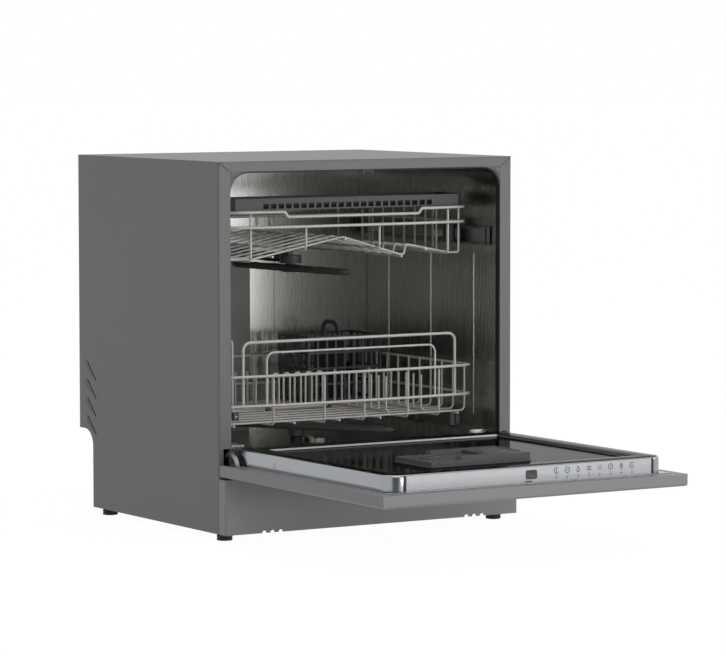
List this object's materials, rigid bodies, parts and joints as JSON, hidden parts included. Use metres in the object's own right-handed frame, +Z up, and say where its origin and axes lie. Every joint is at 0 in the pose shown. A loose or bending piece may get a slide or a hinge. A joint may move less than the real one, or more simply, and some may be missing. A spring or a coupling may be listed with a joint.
{
  "type": "countertop dishwasher",
  "caption": "Compact grey dishwasher with a fold-down steel-lined door, two wire racks that roll and slide out, and spray arms above a steel tub.",
  "frame": {"origin": "on the floor, in the middle of the box that the casing and the open door fill", "axes": "+Z up, +X to the right seen from the front, -Y towards the user"},
  "size_m": [0.55, 0.95, 0.595],
  "materials": {
    "painted_side": "satin",
    "painted_top": "satin",
    "painted_plinth": "satin",
    "painted_door": "satin",
    "zinc_steel": "zinc plated",
    "black_plastic": "matte",
    "feet_rubber": "matte",
    "tub_steel": "brushed",
    "liner_steel": "brushed",
    "white_plastic": "matte",
    "grey_plastic": "satin",
    "silver_strip": "satin",
    "coated_wire": "satin"
  },
  "bodies": {
    "cabinet": {"side_panel_left": "painted_side", "side_panel_right": "painted_side", "top_panel": "painted_top", "back_panel": "zinc_steel", "base_tray": "black_plastic", "plinth": "painted_plinth", "levelling_feet": "feet_rubber", "tub_wrapper": "tub_steel", "tub_rear_wall": "tub_steel", "tub_floor": "tub_steel", "door_gasket": "feet_rubber", "latch_striker": "black_plastic", "hinge_brackets": "zinc_steel", "door_springs": "zinc_steel", "sump": "black_plastic", "filter_cup": "tub_steel", "circulation_pump": "black_plastic", "drain_pump": "black_plastic", "water_inlet_valve": "white_plastic", "drain_spigot": "black_plastic", "cord_gland": "black_plastic", "water_softener": "white_plastic", "salt_cap": "grey_plastic", "riser_pipe": "grey_plastic", "rail_channels": "zinc_steel"},
    "door": {"door_outer_panel": "painted_door", "door_liner": "liner_steel", "control_strip": "silver_strip", "latch_mouth": "grey_plastic", "dispenser_body": "grey_plastic", "hinge_arms": "zinc_steel", "door_seal": "feet_rubber"},
    "detergent_lid": {"dispenser_lid": "grey_plastic"},
    "rinse_cap": {"rinse_aid_cap": "grey_plastic"},
    "lower_rack": {"lower_rack_floor": "coated_wire", "lower_rack_front": "coated_wire", "lower_rack_back": "coated_wire", "lower_rack_sides": "coated_wire", "plate_tines": "coated_wire", "rack_clips": "grey_plastic", "wheel_brackets": "grey_plastic", "cutlery_basket": "grey_plastic"},
    "folding_tines": {"fold_tines": "coated_wire"},
    "stemware_holder": {"stemware_rest": "coated_wire"},
    "upper_rack": {"upper_rack_floor": "coated_wire", "upper_rack_front": "coated_wire", "upper_rack_back": "coated_wire", "upper_rack_sides": "coated_wire", "cutlery_shelf": "grey_plastic", "spray_feed": "grey_plastic", "rail_inners": "zinc_steel"},
    "rail_middle": {"rail_middles": "zinc_steel"},
    "upper_arm": {"upper_spray_arm": "grey_plastic"},
    "lower_arm": {"lower_spray_arm": "grey_plastic"},
    "body_wheel_left_front": {"wheel_left_front": "grey_plastic"},
    "body_wheel_left_middle": {"wheel_left_middle": "grey_plastic"},
    "body_wheel_left_rear": {"wheel_left_rear": "grey_plastic"},
    "body_wheel_right_front": {"wheel_right_front": "grey_plastic"},
    "body_wheel_right_middle": {"wheel_right_middle": "grey_plastic"},
    "body_wheel_right_rear": {"wheel_right_rear": "grey_plastic"}
  },
  "joints": [
    {"name": "door_hinge", "type": "hinge", "parent": "cabinet", "child": "door", "pos_m": [0, 0, 0.115], "axis": [-1, 0, 0], "range_deg": [0, 90]},
    {"name": "detergent_lid_slide", "type": "slide", "parent": "door", "child": "detergent_lid", "axis": [-1, 0, 0], "range_m": [0, 0.058]},
    {"name": "rinse_cap_turn", "type": "hinge", "parent": "door", "child": "rinse_cap", "pos_m": [-0.092, -0.313, 0.152], "axis": [0, 0, 1], "range_deg": [0, 90]},
    {"name": "lower_rack_slide", "type": "slide", "parent": "cabinet", "child": "lower_rack", "axis": [0, 1, 0], "range_m": [-0.372, 0]},
    {"name": "upper_rack_slide", "type": "slide", "parent": "cabinet", "child": "upper_rack", "axis": [0, 1, 0], "range_m": [-0.263, 0]},
    {"name": "rail_middle_slide", "type": "slide", "parent": "cabinet", "child": "rail_middle", "axis": [0, 1, 0], "range_m": [-0.1315, 0]},
    {"name": "folding_tines_hinge", "type": "hinge", "parent": "lower_rack", "child": "folding_tines", "pos_m": [0, 0.2305, 0.18046], "axis": [1, 0, 0], "range_deg": [0, 85]},
    {"name": "stemware_hinge", "type": "hinge", "parent": "lower_rack", "child": "stemware_holder", "pos_m": [-0.185, 0.17967, 0.184], "axis": [0, 1, 0], "range_deg": [0, 80]},
    {"name": "upper_arm_spin", "type": "hinge", "parent": "upper_rack", "child": "upper_arm", "pos_m": [0, 0.25, 0.409], "axis": [0, 0, 1], "continuous": true},
    {"name": "lower_arm_spin", "type": "hinge", "parent": "cabinet", "child": "lower_arm", "pos_m": [0, 0.2315, 0.149], "axis": [0, 0, 1], "continuous": true},
    {"name": "wheel_left_front_roll", "type": "hinge", "parent": "lower_rack", "child": "body_wheel_left_front", "pos_m": [-0.223, 0.094, 0.16], "axis": [-1, 0, 0], "continuous": true},
    {"name": "wheel_left_middle_roll", "type": "hinge", "parent": "lower_rack", "child": "body_wheel_left_middle", "pos_m": [-0.223, 0.202, 0.16], "axis": [-1, 0, 0], "continuous": true},
    {"name": "wheel_left_rear_roll", "type": "hinge", "parent": "lower_rack", "child": "body_wheel_left_rear", "pos_m": [-0.223, 0.409, 0.16], "axis": [-1, 0, 0], "continuous": true},
    {"name": "wheel_right_front_roll", "type": "hinge", "parent": "lower_rack", "child": "body_wheel_right_front", "pos_m": [0.223, 0.094, 0.16], "axis": [-1, 0, 0], "continuous": true},
    {"name": "wheel_right_middle_roll", "type": "hinge", "parent": "lower_rack", "child": "body_wheel_right_middle", "pos_m": [0.223, 0.202, 0.16], "axis": [-1, 0, 0], "continuous": true},
    {"name": "wheel_right_rear_roll", "type": "hinge", "parent": "lower_rack", "child": "body_wheel_right_rear", "pos_m": [0.223, 0.409, 0.16], "axis": [-1, 0, 0], "continuous": true}
  ],
  "couplings": [
    {"joint": "rail_middle_slide", "follows": "upper_rack_slide", "ratio": 0.5},
    {"joint": "wheel_left_front_roll", "follows": "lower_rack_slide", "rad_per_m": 83.333},
    {"joint": "wheel_left_middle_roll", "follows": "lower_rack_slide", "rad_per_m": 83.333},
    {"joint": "wheel_left_rear_roll", "follows": "lower_rack_slide", "rad_per_m": 83.333},
    {"joint": "wheel_right_front_roll", "follows": "lower_rack_slide", "rad_per_m": 83.333},
    {"joint": "wheel_right_middle_roll", "follows": "lower_rack_slide", "rad_per_m": 83.333},
    {"joint": "wheel_right_rear_roll", "follows": "lower_rack_slide", "rad_per_m": 83.333}
  ]
}
